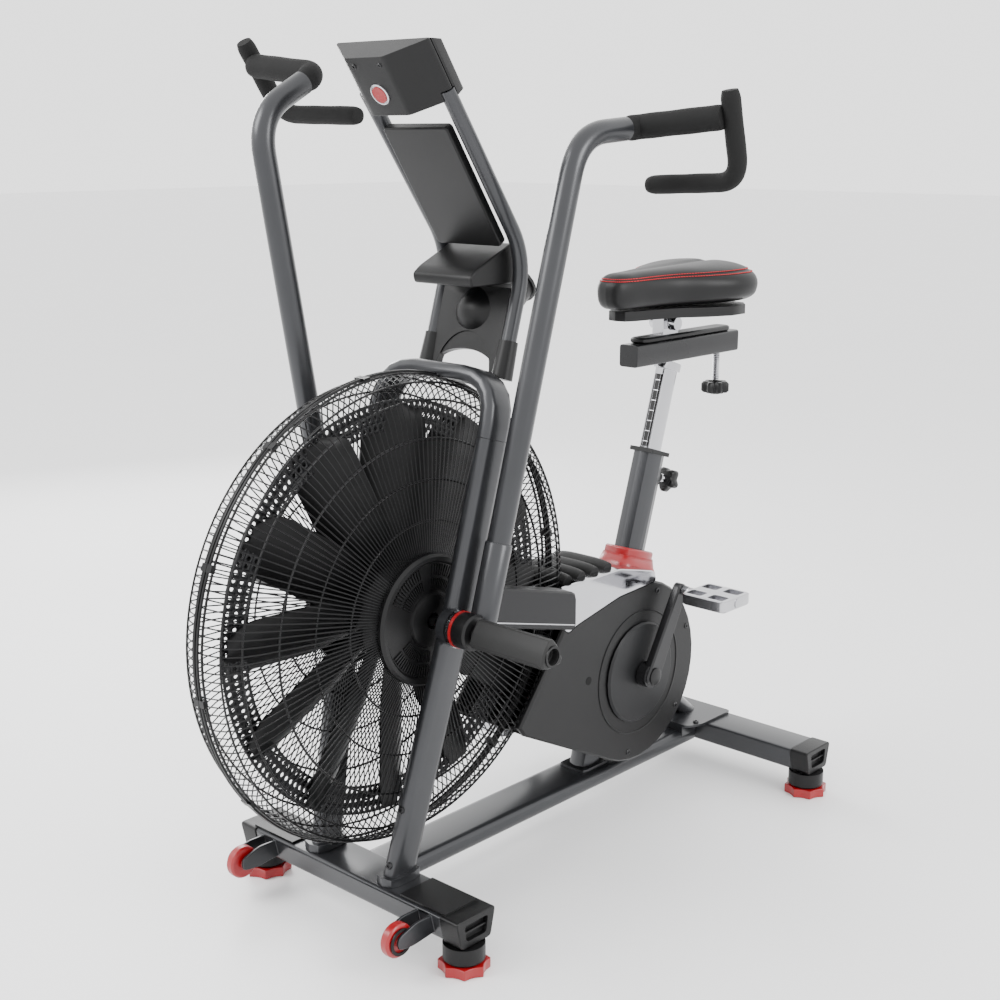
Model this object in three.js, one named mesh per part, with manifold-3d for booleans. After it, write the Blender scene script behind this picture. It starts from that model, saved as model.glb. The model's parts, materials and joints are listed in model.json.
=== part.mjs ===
// Air bike: a stationary bike whose pedals and swinging handlebars drive a large caged fan.
// Millimetres, +Z up. The rider faces -Y, so the fan is at -Y and +X is the rider's left.
// The design datum has its plane of symmetry at x = 0 and the floor at z = 0; the last lines
// move the whole bike along Y so that the origin is under the middle of its box.
import * as THREE from 'three';
import { mergeVertices } from 'three/addons/utils/BufferGeometryUtils.js';
import Module from 'manifold-3d';

const wasm = await Module();
wasm.setup();

// ---------------------------------------------------------------- driving dimensions
const BOX_CENTRE_Y = 85;            // design y of the middle of the bike's box
const GAP = 0.3;                    // between pieces that touch
const TOLERANCE = 0.05;             // to which flat and nearly flat faces are merged
const FAN = { y: -198, z: 517 };    // fan shaft, handlebar pivots and foot pegs share this axis
const CRANK = { y: 362, z: 278 };
const CRANK_LENGTH = 172;
const CRANK_ANGLE = 61;             // of the left arm above the level, towards the saddle
const CAGE_RADIUS = 384;
const FAN_RADIUS = 345;
const BLADE_COUNT = 12;
const BLADE_PITCH = 62;             // degrees from the shaft's direction
const STABILIZER = { z0: 50, z1: 96, depth: 85, lean: 11 };
const FRONT_Y = -321;               // front edge of the front stabilizer
const REAR_Y = 610;                 // front edge of the rear stabilizer
const FRONT_HALF = 225;             // steel half width, without the end caps
const REAR_HALF = 270;
const CAP_LENGTH = 40;
const BEAM_TOP = 84;
const SHROUD_X = 83;                // half width of the belt shroud
const SHROUD_RADIUS = 176;
const WALL = 4;
const HANDLE_SWING = 11.55;         // degrees that each handlebar stands away from neutral
const HANDLE_X = 171;
const TUBE_RADIUS = 19;
const GRIP_RADIUS = 20;
const BAR_RADIUS = 15.5;
const SEAT_LEAN = Math.atan(0.314);
const HEAD_LEAN = Math.atan(0.67);  // the console leans towards the front
const POST = { y: 421, z: 450 };    // a point on the seat tube's axis

// ---------------------------------------------------------------- small helpers
const vec = (x, y, z) => new THREE.Vector3(x, y, z);
const flat = (x, y) => new THREE.Vector2(x, y);
const rad = THREE.MathUtils.degToRad;

function paint(color, roughness, metalness) {
  return new THREE.MeshStandardMaterial({ color, roughness, metalness });
}

const FRAME_PAINT = [0x4a4b4e, 0.42, 0.55];
const BLACK_PLASTIC = [0x1c1c1e, 0.55, 0];
const BLACK_STEEL = [0x141415, 0.4, 0.4];
const RED_PLASTIC = [0xb3121b, 0.4, 0];
const CHROME = [0xd8dadd, 0.08, 1];
const FOAM = [0x151515, 0.85, 0];
const RUBBER = [0x101010, 0.8, 0];
const ALUMINIUM = [0xc9ccd0, 0.3, 1];

// A closed solid from any closed three.js geometry.
function solid(geometry) {
  const bare = geometry.clone();
  bare.deleteAttribute('normal');
  bare.deleteAttribute('uv');
  const merged = mergeVertices(bare, 1e-4);
  const kept = [];
  const index = merged.index.array;
  for (let i = 0; i < index.length; i += 3) {
    const [a, b, c] = [index[i], index[i + 1], index[i + 2]];
    if (a !== b && b !== c && c !== a) kept.push(a, b, c);
  }
  const mesh = new wasm.Mesh({
    numProp: 3,
    vertProperties: new Float32Array(merged.attributes.position.array),
    triVerts: new Uint32Array(kept),
  });
  return new wasm.Manifold(mesh);
}

function geometryOf(manifold) {
  const mesh = manifold.asOriginal().simplify(TOLERANCE).getMesh();
  const geometry = new THREE.BufferGeometry();
  geometry.setAttribute('position', new THREE.BufferAttribute(mesh.vertProperties, 3));
  geometry.setIndex(new THREE.BufferAttribute(mesh.triVerts, 1));
  geometry.computeVertexNormals();
  return geometry;
}

const join = (first, ...rest) => rest.reduce((sum, piece) => sum.add(piece), first);
const cut = (first, ...rest) => rest.reduce((sum, piece) => sum.subtract(piece), first);

function box(x0, x1, y0, y1, z0, z1) {
  const geometry = new THREE.BoxGeometry(x1 - x0, y1 - y0, z1 - z0);
  geometry.translate((x0 + x1) / 2, (y0 + y1) / 2, (z0 + z1) / 2);
  return solid(geometry);
}

// A cylinder between two points.
function rod(start, end, radius, sides = 16) {
  const along = end.clone().sub(start);
  const geometry = new THREE.CylinderGeometry(radius, radius, along.length(), sides);
  const turn = new THREE.Quaternion().setFromUnitVectors(vec(0, 1, 0), along.clone().normalize());
  geometry.applyQuaternion(turn);
  geometry.translate(...start.clone().add(end).multiplyScalar(0.5).toArray());
  return solid(geometry);
}

// A cylinder across the bike, on an axis parallel to X.
const cross = (at, x0, x1, radius, sides = 20) =>
  rod(vec(x0, at.y, at.z), vec(x1, at.y, at.z), radius, sides);

// A body of revolution around X; the profile lists [radius, x] with the material on its left.
function turned(at, profile, segments = 48) {
  const geometry = new THREE.LatheGeometry(profile.map(([r, x]) => flat(r, x)), segments);
  geometry.rotateZ(-Math.PI / 2);
  geometry.translate(0, at.y, at.z);
  return solid(geometry);
}

// Corners of a polygon rounded by arcs of about the given radius.
function rounded(corners, radius, steps = 2) {
  const points = [];
  corners.forEach((corner, i) => {
    const before = corners[(i + corners.length - 1) % corners.length];
    const after = corners[(i + 1) % corners.length];
    const reach = Math.min(radius, corner.distanceTo(before) / 2.1, corner.distanceTo(after) / 2.1);
    const from = corner.clone().lerp(before, reach / corner.distanceTo(before));
    const to = corner.clone().lerp(after, reach / corner.distanceTo(after));
    points.push(...new THREE.QuadraticBezierCurve(from, corner, to).getPoints(steps));
  });
  return points;
}

const rectangle = (w, h, radius, steps = 2) =>
  rounded([flat(-w / 2, -h / 2), flat(w / 2, -h / 2), flat(w / 2, h / 2), flat(-w / 2, h / 2)], radius, steps);

function circle(radius, sides) {
  const turn = (2 * Math.PI) / sides;
  return Array.from({ length: sides }, (_, i) =>
    flat(radius * Math.cos(i * turn), radius * Math.sin(i * turn)));
}

// An outline drawn in the plane of the two given directions, pushed along the third.
function prism(outline, depth, origin, right, up, bevel = 0) {
  const geometry = new THREE.ExtrudeGeometry(new THREE.Shape(outline), {
    depth: depth - 2 * bevel, bevelEnabled: bevel > 0, bevelSize: bevel, bevelThickness: bevel,
    bevelOffset: -bevel, bevelSegments: 1,
  });
  geometry.translate(0, 0, bevel);
  const out = right.clone().cross(up);
  geometry.applyMatrix4(new THREE.Matrix4().makeBasis(right, up, out));
  geometry.translate(...origin.toArray());
  return solid(geometry);
}

// Outline given in (y, z), pushed from x0 to x1.
const side = (outline, x0, x1, bevel = 0) =>
  prism(outline, x1 - x0, vec(x0, 0, 0), vec(0, 1, 0), vec(0, 0, 1), bevel);

// Outline given in (x, y), pushed from z0 to z1.
const slab = (outline, z0, z1, bevel = 0) =>
  prism(outline, z1 - z0, vec(0, 0, z0), vec(1, 0, 0), vec(0, 1, 0), bevel);

// A path through the given stations, so that a swept tube has one ring at each.
class Stations extends THREE.Curve {
  constructor(points) {
    super();
    this.points = points;
  }

  getPoint(t, target = new THREE.Vector3()) {
    const place = t * (this.points.length - 1);
    const i = Math.min(Math.floor(place + 1e-6), this.points.length - 2);
    return target.copy(this.points[i]).lerp(this.points[i + 1], place - i);
  }

  getPointAt(t, target) {
    return this.getPoint(t, target);
  }

  getTangentAt(t, target = new THREE.Vector3()) {
    const last = this.points.length - 1;
    const i = Math.round(t * last);
    const before = this.points[Math.max(i - 1, 0)];
    const after = this.points[Math.min(i + 1, last)];
    return target.copy(after).sub(before).normalize();
  }
}

// Straight runs between the corners, with bends of the given reach.
function bentPath(corners, reach, steps = 5) {
  const points = [corners[0]];
  for (let i = 1; i < corners.length - 1; i += 1) {
    const corner = corners[i];
    const from = corner.clone().lerp(corners[i - 1], reach / corner.distanceTo(corners[i - 1]));
    const to = corner.clone().lerp(corners[i + 1], reach / corner.distanceTo(corners[i + 1]));
    points.push(...new THREE.QuadraticBezierCurve3(from, corner, to).getPoints(steps));
  }
  points.push(corners.at(-1));
  return points;
}

function sweep(section, points) {
  const geometry = new THREE.ExtrudeGeometry(new THREE.Shape(section), {
    steps: points.length - 1, extrudePath: new Stations(points),
  });
  return solid(geometry);
}

const mirrored = (manifold) => manifold.mirror([1, 0, 0]);
const movedTo = (manifold, x, y, z) => manifold.translate([x, y, z]);
const spun = (manifold, at, degrees) =>
  movedTo(movedTo(manifold, 0, -at.y, -at.z).rotate([degrees, 0, 0]), 0, at.y, at.z);

const bike = new THREE.Group();
bike.position.y = -BOX_CENTRE_Y;

function add(name, manifold, look) {
  const mesh = new THREE.Mesh(geometryOf(manifold), paint(...look));
  mesh.name = name;
  bike.add(mesh);
}

// The piece for the rider's left, and its mirror image for the right.
function addPair(name, manifold, look) {
  add(`${name}_left`, manifold, look);
  add(`${name}_right`, mirrored(manifold), look);
}

// ---------------------------------------------------------------- floor frame
// Stabilizer section in (y, z): flat top, walls that lean in towards the floor.
function stabilizerOutline(y, grow) {
  const { z0, z1, depth, lean } = STABILIZER;
  const corners = [
    flat(y + lean - grow, z0 - grow), flat(y + depth - lean + grow, z0 - grow),
    flat(y + depth + grow, z1 + grow), flat(y - grow, z1 + grow),
  ];
  return rounded(corners, 7, 3);
}

function wheelBracket(x) {
  const arm = [flat(-300, 62), flat(-300, 90), flat(-352, 92), flat(-390, 80), flat(-390, 60), flat(-360, 56)];
  return [-1, 1].map((s) => side(rounded(arm, 8), x + s * 15 - 2.5, x + s * 15 + 2.5));
}

function frontStabilizer() {
  const bar = side(stabilizerOutline(FRONT_Y, 0), -FRONT_HALF, FRONT_HALF);
  return join(bar, ...wheelBracket(190), ...wheelBracket(-190));
}

// A plastic cap over the bar's end, with a pocket in its outer face and a rib across it.
function endCap(y, half) {
  const start = half + GAP;
  const shell = side(stabilizerOutline(y, 1.5), start, half + CAP_LENGTH, 1.5);
  const mid = y + STABILIZER.depth / 2;
  const pocket = side(rounded([flat(mid - 22, 60), flat(mid + 22, 60), flat(mid + 26, 88), flat(mid - 26, 88)], 5),
    half + CAP_LENGTH - 9, half + CAP_LENGTH + 1);
  const rib = box(half + CAP_LENGTH - 10, half + CAP_LENGTH - 3, mid - 30, mid + 30, 72, 75);
  return join(cut(shell, pocket), rib);
}

// The front caps carry a textured step pad that reaches inward over the bar.
function frontCap() {
  const pad = box(132, FRONT_HALF + 8, FRONT_Y + 6, FRONT_Y + STABILIZER.depth - 6,
    STABILIZER.z1 + GAP, STABILIZER.z1 + 4);
  return join(endCap(FRONT_Y, FRONT_HALF), pad);
}

// Eight-lobed levelling foot on a threaded stem.
function levellingFoot(x, y) {
  const lobes = Array.from({ length: 24 }, (_, i) => {
    const turn = (i * 2 * Math.PI) / 24;
    const r = 38 + 4 * Math.cos(8 * turn);
    return flat(x + r * Math.cos(turn), y + r * Math.sin(turn));
  });
  const stem = rod(vec(x, y, 14), vec(x, y, STABILIZER.z0 - 1.5 - GAP), 7, 10);
  return join(slab(lobes, 0, 17), stem);
}

add('front_stabilizer', frontStabilizer(), FRAME_PAINT);
addPair('front_cap', frontCap(), BLACK_PLASTIC);
add('rear_stabilizer', side(stabilizerOutline(REAR_Y, 0), -REAR_HALF, REAR_HALF), FRAME_PAINT);
addPair('rear_cap', endCap(REAR_Y, REAR_HALF), BLACK_PLASTIC);
addPair('front_foot', levellingFoot(FRONT_HALF + 17, FRONT_Y + 38), RED_PLASTIC);
addPair('rear_foot', levellingFoot(REAR_HALF + 17, REAR_Y + 38), RED_PLASTIC);

const WHEEL = { y: -378.5, z: 68.6 };
const wheelProfile = [[0, 178.5], [9, 178.5], [9, 181], [25, 181], [28, 184], [28, 196], [25, 199], [9, 199],
  [9, 201.5], [0, 201.5]];
addPair('transport_wheel', turned(WHEEL, wheelProfile, 24), RED_PLASTIC);

// Beam along the floor: flat top between two rounded rails, and a plate over the rear bar.
function mainBeam() {
  const start = FRONT_Y + STABILIZER.depth + GAP;
  const end = REAR_Y - GAP;
  const outline = rounded([flat(-46, 52), flat(46, 52), flat(46, BEAM_TOP), flat(-46, BEAM_TOP)], 14, 4);
  const beam = prism(outline, end - start, vec(0, end, 0), vec(1, 0, 0), vec(0, 0, 1));
  const plateOutline = [flat(-58, 560), flat(58, 560), flat(74, 590), flat(74, REAR_Y + 84),
    flat(-74, REAR_Y + 84), flat(-74, 590)];
  const plate = slab(rounded(plateOutline, 8), STABILIZER.z1 + GAP, STABILIZER.z1 + 5);
  const riser = box(-46, 46, 562, REAR_Y - GAP, BEAM_TOP - 10, STABILIZER.z1 + 3);
  return join(beam, plate, riser);
}
add('main_beam', mainBeam(), FRAME_PAINT);

// ---------------------------------------------------------------- fork over the fan
const FORK_FOOT = vec(88, -278, STABILIZER.z1 + GAP);
const FORK_HUB = vec(128, -181, FAN.z);
const FORK_SHOULDER = vec(128, -96, 800);
const FORK_TOP_Z = 893;
const FORK_LEAN = (FORK_SHOULDER.y - FORK_HUB.y) / (FORK_SHOULDER.z - FORK_HUB.z);
const FORK_CORNER = vec(128, FORK_SHOULDER.y + (FORK_TOP_Z - FORK_SHOULDER.z) * FORK_LEAN, FORK_TOP_Z);
const FORK_SECTION = rounded([flat(-14, -28), flat(14, -28), flat(14, 28), flat(-14, 28)], 13, 3);

function forkLeg() {
  const leg = sweep(FORK_SECTION, bentPath([FORK_FOOT, FORK_HUB, FORK_SHOULDER], 60));
  const housing = cross(FAN, 130, 147.5, 30);
  const flatFoot = box(0, 200, -400, -200, 0, STABILIZER.z1 + GAP);
  const boot = prism(rectangle(44, 74, 20), 14, vec(89, -277, STABILIZER.z1 + GAP), vec(1, 0, 0), vec(0, 1, 0));
  return cut(join(leg, housing, boot), flatFoot);
}

function forkArch() {
  const start = FORK_SHOULDER.clone().lerp(FORK_CORNER, GAP / 88);
  const corners = [start, FORK_CORNER, vec(-FORK_CORNER.x, FORK_CORNER.y, FORK_TOP_Z),
    vec(-start.x, start.y, start.z)];
  return cut(sweep(FORK_SECTION, bentPath(corners, 74, 5)), cross(FAN, -60, 60, CAGE_RADIUS + 2, 64));
}
addPair('fork_leg', forkLeg(), FRAME_PAINT);
add('fork_arch', forkArch(), FRAME_PAINT);

// ---------------------------------------------------------------- mast and its panels
const MAST_X = 85;
const MAST_BEND = vec(MAST_X, 31, 1076);
const MAST_FOOT = vec(MAST_X, -26, 884);
const MAST_TOP = vec(MAST_X + 3, -150, 1336);
const lowerUp = MAST_BEND.clone().sub(MAST_FOOT).setX(0).normalize();
const upperUp = vec(0, -Math.sin(HEAD_LEAN), Math.cos(HEAD_LEAN));
const upperBack = vec(0, Math.cos(HEAD_LEAN), Math.sin(HEAD_LEAN));
const across = vec(1, 0, 0);
const onLower = (z) => vec(0, MAST_FOOT.y + (z - MAST_FOOT.z) * 0.312, z);
const onUpper = (z) => vec(0, MAST_BEND.y - (z - MAST_BEND.z) * 0.696, z);

const mastTube = sweep(circle(12.5, 12), bentPath([MAST_FOOT, MAST_BEND, MAST_TOP], 60));
const mastBeyond = MAST_TOP.clone().addScaledVector(MAST_TOP.clone().sub(MAST_BEND).normalize(), 1);
const mastSpace = sweep(circle(13.2, 12), bentPath([MAST_FOOT, MAST_BEND, mastBeyond], 60));
const mastSpaces = [mastSpace, mirrored(mastSpace)];
addPair('mast_tube', mastTube, FRAME_PAINT);

// Cup for a bottle, leaning back with its mouth towards the rider, in the panel between the tubes.
const CUP_FLOOR = vec(0, 24, 974);
const cupAlong = vec(0, 0.77, 0.64).normalize();
const CUP = { radius: 42, length: 92, wall: 3.5 };

function bottleHolder() {
  const mouth = CUP_FLOOR.clone().addScaledVector(cupAlong, CUP.length);
  const inside = CUP_FLOOR.clone().addScaledVector(cupAlong, CUP.wall);
  const beyond = CUP_FLOOR.clone().addScaledVector(cupAlong, CUP.length + 80);
  const outline = [flat(-MAST_X, 0), flat(MAST_X, 0), flat(MAST_X, 146), flat(-MAST_X, 146)];
  const base = onLower(886);
  const up = lowerUp;
  const front = across.clone().cross(up);
  const panel = prism(rounded(outline, 4), 16, base.addScaledVector(front, -8), across, up);
  const archCut = rod(vec(0, -90, 866), vec(0, 60, 866 + 47), 62, 32);
  const cup = rod(CUP_FLOOR, mouth, CUP.radius, 24);
  const hollow = rod(inside, beyond, CUP.radius - CUP.wall, 24);
  const lip = rod(CUP_FLOOR.clone().addScaledVector(cupAlong, CUP.length - 6), mouth, CUP.radius + 5, 24);
  const traySpace = box(-70, 70, -90, 29, 1034 - GAP, 1110);
  return cut(join(panel, cup, lip), archCut, hollow, traySpace, ...mastSpaces);
}
add('bottle_holder', bottleHolder(), BLACK_PLASTIC);

// Tray for a phone: a box that pokes out forward and is open towards the rider.
function mediaTray() {
  const outline = [flat(-74, 1034), flat(28, 1034), flat(28, 1098), flat(18, 1099), flat(-62, 1062), flat(-78, 1050)];
  const pocket = [flat(-66, 1040), flat(90, 1040), flat(90, 1089), flat(22, 1089), flat(-58, 1053)];
  const outer = side(rounded(outline, 5), -66, 66, 2);
  const inner = side(rounded(pocket, 4), -62, 62);
  return cut(outer, inner, ...mastSpaces);
}
add('media_tray', mediaTray(), BLACK_PLASTIC);

function backPanel() {
  const low = onUpper(1108);
  const length = 222;
  const board = prism(rectangle(142, length, 6), 16,
    low.clone().addScaledVector(upperUp, length / 2).addScaledVector(upperBack, -8), across, upperUp);
  const recess = prism(rectangle(124, 176, 3), 6,
    low.clone().addScaledVector(upperUp, length / 2 + 14).addScaledVector(upperBack, 4), across, upperUp);
  return cut(board, recess, ...mastSpaces);
}
add('back_panel', backPanel(), BLACK_PLASTIC);

// ---------------------------------------------------------------- console
// Local axes: across, up along the mast, and back towards the rider.
const HEAD_LOW = vec(0, -186, 1304);
const HEAD = { low: -8, top: 92, split: 50, back: 74 };
const BUTTON_X = [-24, 24];
const BUTTON_NAMES = ['console_button_start', 'console_button_stop'];
const headPoint = (up, back) =>
  HEAD_LOW.clone().addScaledVector(upperUp, up).addScaledVector(upperBack, back);
const shifted = (outline, x, y) => outline.map((p) => flat(p.x + x, p.y + y));

// Outline drawn in (across, back), pushed up along the mast.
const headBlock = (outline, low, top, bevel = 0) =>
  prism(outline, top - low, headPoint(low, 0), across, upperBack, bevel);

// Outline drawn in (across, up), pushed towards the front from the given depth.
const headPlate = (outline, back, depth, bevel = 0) =>
  prism(outline, depth, headPoint(0, back), across, upperUp, bevel);

const headCeiling = box(-200, 200, -400, 0, 1407, 1500);

function consoleHousing() {
  const faceted = [flat(-41, 0), flat(41, 0), flat(100, 44), flat(100, HEAD.split), flat(-100, HEAD.split),
    flat(-100, 44)];
  return cut(headBlock(rounded(faceted, 6), HEAD.low, HEAD.top), headCeiling, ...mastSpaces);
}

function consoleFace() {
  const outline = [flat(-100, HEAD.split + GAP), flat(100, HEAD.split + GAP), flat(96, HEAD.back),
    flat(-96, HEAD.back)];
  const body = headBlock(rounded(outline, 5), HEAD.low, HEAD.top);
  const window = headPlate(shifted(rectangle(150, 58, 5), 0, 50), HEAD.back + 1, 6);
  const wells = BUTTON_X.map((x) => headPlate(shifted(circle(8.5, 12), x, 7), HEAD.back + 1, 9));
  return cut(body, headCeiling, window, ...wells, ...mastSpaces);
}
add('console_housing', consoleHousing(), BLACK_PLASTIC);
add('console_face', consoleFace(), BLACK_PLASTIC);
add('console_lens', headPlate(shifted(rectangle(149, 57, 5), 0, 50), HEAD.back - 1, 3.4), [0x0b0d10, 0.1, 0]);
BUTTON_X.forEach((x, i) => {
  const outline = shifted(circle(8, 12), x, 7);
  add(BUTTON_NAMES[i], headPlate(outline, HEAD.back + 2.5, 7), [i ? 0x9c1218 : 0x3c3d40, 0.5, 0]);
});

// Pulleys: the crank drives the jackshaft, which drives the fan.
const JACK = { y: 224, z: 412 };
const BELT = 2.4;
const CRANK_PULLEY = 100;
const JACK_SMALL = 25;
const JACK_LARGE = 32;
const FAN_PULLEY = 22;

// ---------------------------------------------------------------- fan and its cage
// Half cage: a thin shell from the hub cover out to the rim, profile in [radius, x].
function cageHalf() {
  const outer = [[CAGE_RADIUS, GAP / 2], [382, 26], [368, 48], [330, 65], [104, 80]];
  const inner = outer.map(([r, x]) => [r - 3, Math.max(x - 3, GAP / 2)]).reverse();
  const shell = turned(FAN, [...outer, ...inner, outer[0]], 32);
  const cover = turned(FAN, [[11, 76], [108, 76], [106, 90], [96, 92], [11, 90], [11, 76]], 20);
  return join(shell, cover);
}
addPair('fan_cage', cageHalf(), [0x17171a, 0.5, 0.3]);

// Paddles on a hub disc, tied near their tips by a flat ring, on a shaft with a belt pulley.
function fanWheel() {
  const blade = join(box(-52, 52, -1.2, 1.2, 60, 318), box(-36, 36, -1.2, 1.2, 300, 338));
  const pitched = blade.rotate([0, 0, BLADE_PITCH]);
  const blades = Array.from({ length: BLADE_COUNT }, (_, i) =>
    movedTo(pitched.rotate([(i * 360) / BLADE_COUNT - 2, 0, 0]), 0, FAN.y, FAN.z));
  const ring = turned(FAN, [[296, -1.5], [FAN_RADIUS, -1.5], [FAN_RADIUS, 1.5], [296, 1.5], [296, -1.5]], 32);
  const hub = turned(FAN, [[0, -58], [40, -58], [82, -20], [82, 20], [40, 58], [0, 58]], 16);
  const shaft = cross(FAN, -107, 107, 9, 12);
  const pulley = cross(FAN, -101, -93, FAN_PULLEY, 20);
  return join(hub, ring, shaft, pulley, ...blades);
}
add('fan_wheel', fanWheel(), [0x1a1a1c, 0.5, 0.2]);

// ---------------------------------------------------------------- drive
// A flat belt around two pulleys, the larger first, as a loop with an opening through it.
function belt(a, radiusA, b, radiusB, x0, x1) {
  const dy = b.y - a.y;
  const dz = b.z - a.z;
  const heading = Math.atan2(dz, dy);
  const spread = Math.acos((radiusA - radiusB) / Math.hypot(dy, dz));
  const loop = (grow) => {
    const points = [];
    for (let i = 0; i <= 14; i += 1) {
      const turn = heading + spread + (i / 14) * (2 * Math.PI - 2 * spread);
      points.push(flat(a.y + (radiusA + grow) * Math.cos(turn), a.z + (radiusA + grow) * Math.sin(turn)));
    }
    for (let i = 0; i <= 8; i += 1) {
      const turn = heading - spread + (i / 8) * 2 * spread;
      points.push(flat(b.y + (radiusB + grow) * Math.cos(turn), b.z + (radiusB + grow) * Math.sin(turn)));
    }
    return points;
  };
  return cut(side(loop(2 + BELT), x0, x1), side(loop(2), x0 - 1, x1 + 1));
}

add('crank_spindle', join(cross(CRANK, -122, 122, 9, 14), cross(CRANK, 30, 46, CRANK_PULLEY, 28)), ALUMINIUM);
add('jackshaft', join(cross(JACK, -102, 50, 8, 12), cross(JACK, 30, 46, JACK_SMALL, 18),
  cross(JACK, -101, -93, JACK_LARGE, 20)), ALUMINIUM);
add('primary_belt', belt(CRANK, CRANK_PULLEY, JACK, JACK_SMALL, 32, 44), RUBBER);
add('secondary_belt', belt(JACK, JACK_LARGE, FAN, FAN_PULLEY, -100, -94), RUBBER);

// ---------------------------------------------------------------- seat tube
const seatUp = vec(0, Math.sin(SEAT_LEAN), Math.cos(SEAT_LEAN));
const seatBack = vec(0, Math.cos(SEAT_LEAN), -Math.sin(SEAT_LEAN));
const onSeat = (up, back = 0) =>
  vec(0, POST.y, POST.z).addScaledVector(seatUp, up).addScaledVector(seatBack, back);

// Outline drawn in (across, forward), pushed up along the seat tube.
const seatBlock = (outline, low, high, bevel = 0) =>
  prism(outline, high - low, onSeat(low), across.clone().negate(), seatBack.clone().negate(), bevel);

const TUBE_TOP = 237;
const PIN_UP = 190;
const tubeOutline = (grow) => rectangle(44 + 2 * grow, 62 + 2 * grow, 19);
const postOutline = (grow) => rectangle(28 + 2 * grow, 44 + 2 * grow, 9);
const BRACE = [vec(0, 396, 300), vec(0, 652, 86)];

// Seat tube down to the beam, with the brace that runs back to the rear stabilizer.
function seatTube() {
  const outside = seatBlock(tubeOutline(0), -420, TUBE_TOP);
  const socket = seatBlock(postOutline(0.5), -152, TUBE_TOP + 1);
  const floor = box(-60, 60, 200, 420, -60, BEAM_TOP + GAP);
  const flange = slab(shifted(rectangle(62, 84, 10), 0, 306), BEAM_TOP + GAP, BEAM_TOP + 6);
  const plateTop = box(-60, 60, 560, 720, 40, STABILIZER.z1 + 5 + GAP);
  const brace = cut(rod(BRACE[0], BRACE[1], 17), plateTop);
  const axleHole = cross(CRANK, -40, 40, 10, 16);
  const pinHole = rod(onSeat(PIN_UP, 0), onSeat(PIN_UP, 60), 5.5, 12);
  return cut(join(cut(outside, floor), flange, brace), socket, axleHole, pinHole);
}
add('seat_tube', seatTube(), FRAME_PAINT);

// ---------------------------------------------------------------- belt shroud and its cover
// Side outline of the shroud: a blunt front and a round back about the crank.
function shroudOutline(inset) {
  const radius = SHROUD_RADIUS - inset;
  const arc = [];
  for (let i = 0; i <= 20; i += 1) {
    const turn = rad(-118 + (i / 20) * 204);
    arc.push(flat(CRANK.y + radius * Math.cos(turn), CRANK.z + radius * Math.sin(turn)));
  }
  const front = [flat(168 + inset, 452 - inset), flat(102 + inset, 360), flat(24 + 1.6 * inset, 262),
    flat(38 + inset, 244 + inset)];
  return [...arc, ...front];
}

// The chrome cover closes the shroud's top, from the fan to the seat tube.
const coverOutline = (grow) => rounded([
  flat(96 - grow, 470), flat(152 - grow, 404 - grow), flat(176, 414 - grow), flat(300, 440 - grow),
  flat(414 + grow, 446 - grow), flat(406 + grow, 468 + grow), flat(300, 494 + grow), flat(108 - grow, 492 + grow),
], 8);

const cageSpace = cross(FAN, -74, 74, CAGE_RADIUS + 5, 48);
const tubeSpace = seatBlock(tubeOutline(1), -420, TUBE_TOP + 5);
const byVolume = (a, b) => b.volume() - a.volume();
const largest = (manifold) => manifold.decompose().sort(byVolume)[0];

function shroudHalf() {
  const shell = side(shroudOutline(0), GAP / 2, SHROUD_X, 4);
  const inside = side(shroudOutline(WALL * 1.5), -10, SHROUD_X - WALL);
  const brace = rod(BRACE[0], BRACE[1], 18);
  const cover = side(coverOutline(GAP), -100, 100);
  return cut(shell, inside, cageSpace, tubeSpace, brace, cover, cross(CRANK, 0, 100, 16));
}
const shroudLeft = largest(shroudHalf());
add('shroud_left', shroudLeft, BLACK_PLASTIC);
add('shroud_right', largest(cut(mirrored(shroudLeft), cross(JACK, -100, 0, 12))), BLACK_PLASTIC);

function topCover() {
  const shell = side(coverOutline(0), -SHROUD_X, SHROUD_X, 2);
  const inside = side(coverOutline(-WALL), -SHROUD_X + WALL, SHROUD_X - WALL);
  const below = box(-SHROUD_X + 8, SHROUD_X - 8, 170, 392, 380, 452);
  return largest(cut(shell, inside, below, cageSpace, tubeSpace, cross(JACK, -100, 60, 36)));
}
add('top_cover', topCover(), CHROME);
add('seat_collar', cut(seatBlock(rectangle(72, 96, 30), 24, 44, 3), seatBlock(tubeOutline(1), 0, 80)), RED_PLASTIC);

// ---------------------------------------------------------------- link covers and rods
// Each cover is a box, open to the front, over the rod that ties a handlebar to the crank.
// The right one reaches lower, because it also holds the fan belt.
function linkCover(deeper) {
  const outline = [flat(-118, 494 - deeper), flat(112, 434 - deeper), flat(112, 503), flat(-118, 562)];
  const outer = side(rounded(outline, 12), 95, 136, 3);
  const hollow = [flat(-130, 502 - deeper), flat(107, 440 - deeper), flat(107, 498), flat(-130, 558)];
  const beltSlot = box(90, 110, 80, 130, JACK.z - 30, JACK.z + 70);
  return cut(outer, side(hollow, 90, 132), beltSlot);
}
add('link_cover_left', linkCover(0), BLACK_PLASTIC);
add('link_cover_right', mirrored(linkCover(36)), BLACK_PLASTIC);
addPair('link_rod', sweep(rectangle(8, 15, 3), [vec(121, -118, 526), vec(121, 84, 474)]), BLACK_STEEL);

// ---------------------------------------------------------------- cranks and pedals
const crankWay = flat(Math.cos(rad(CRANK_ANGLE)), Math.sin(rad(CRANK_ANGLE)));
const PEDAL = { y: CRANK.y + CRANK_LENGTH * crankWay.x, z: CRANK.z + CRANK_LENGTH * crankWay.y };

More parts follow.
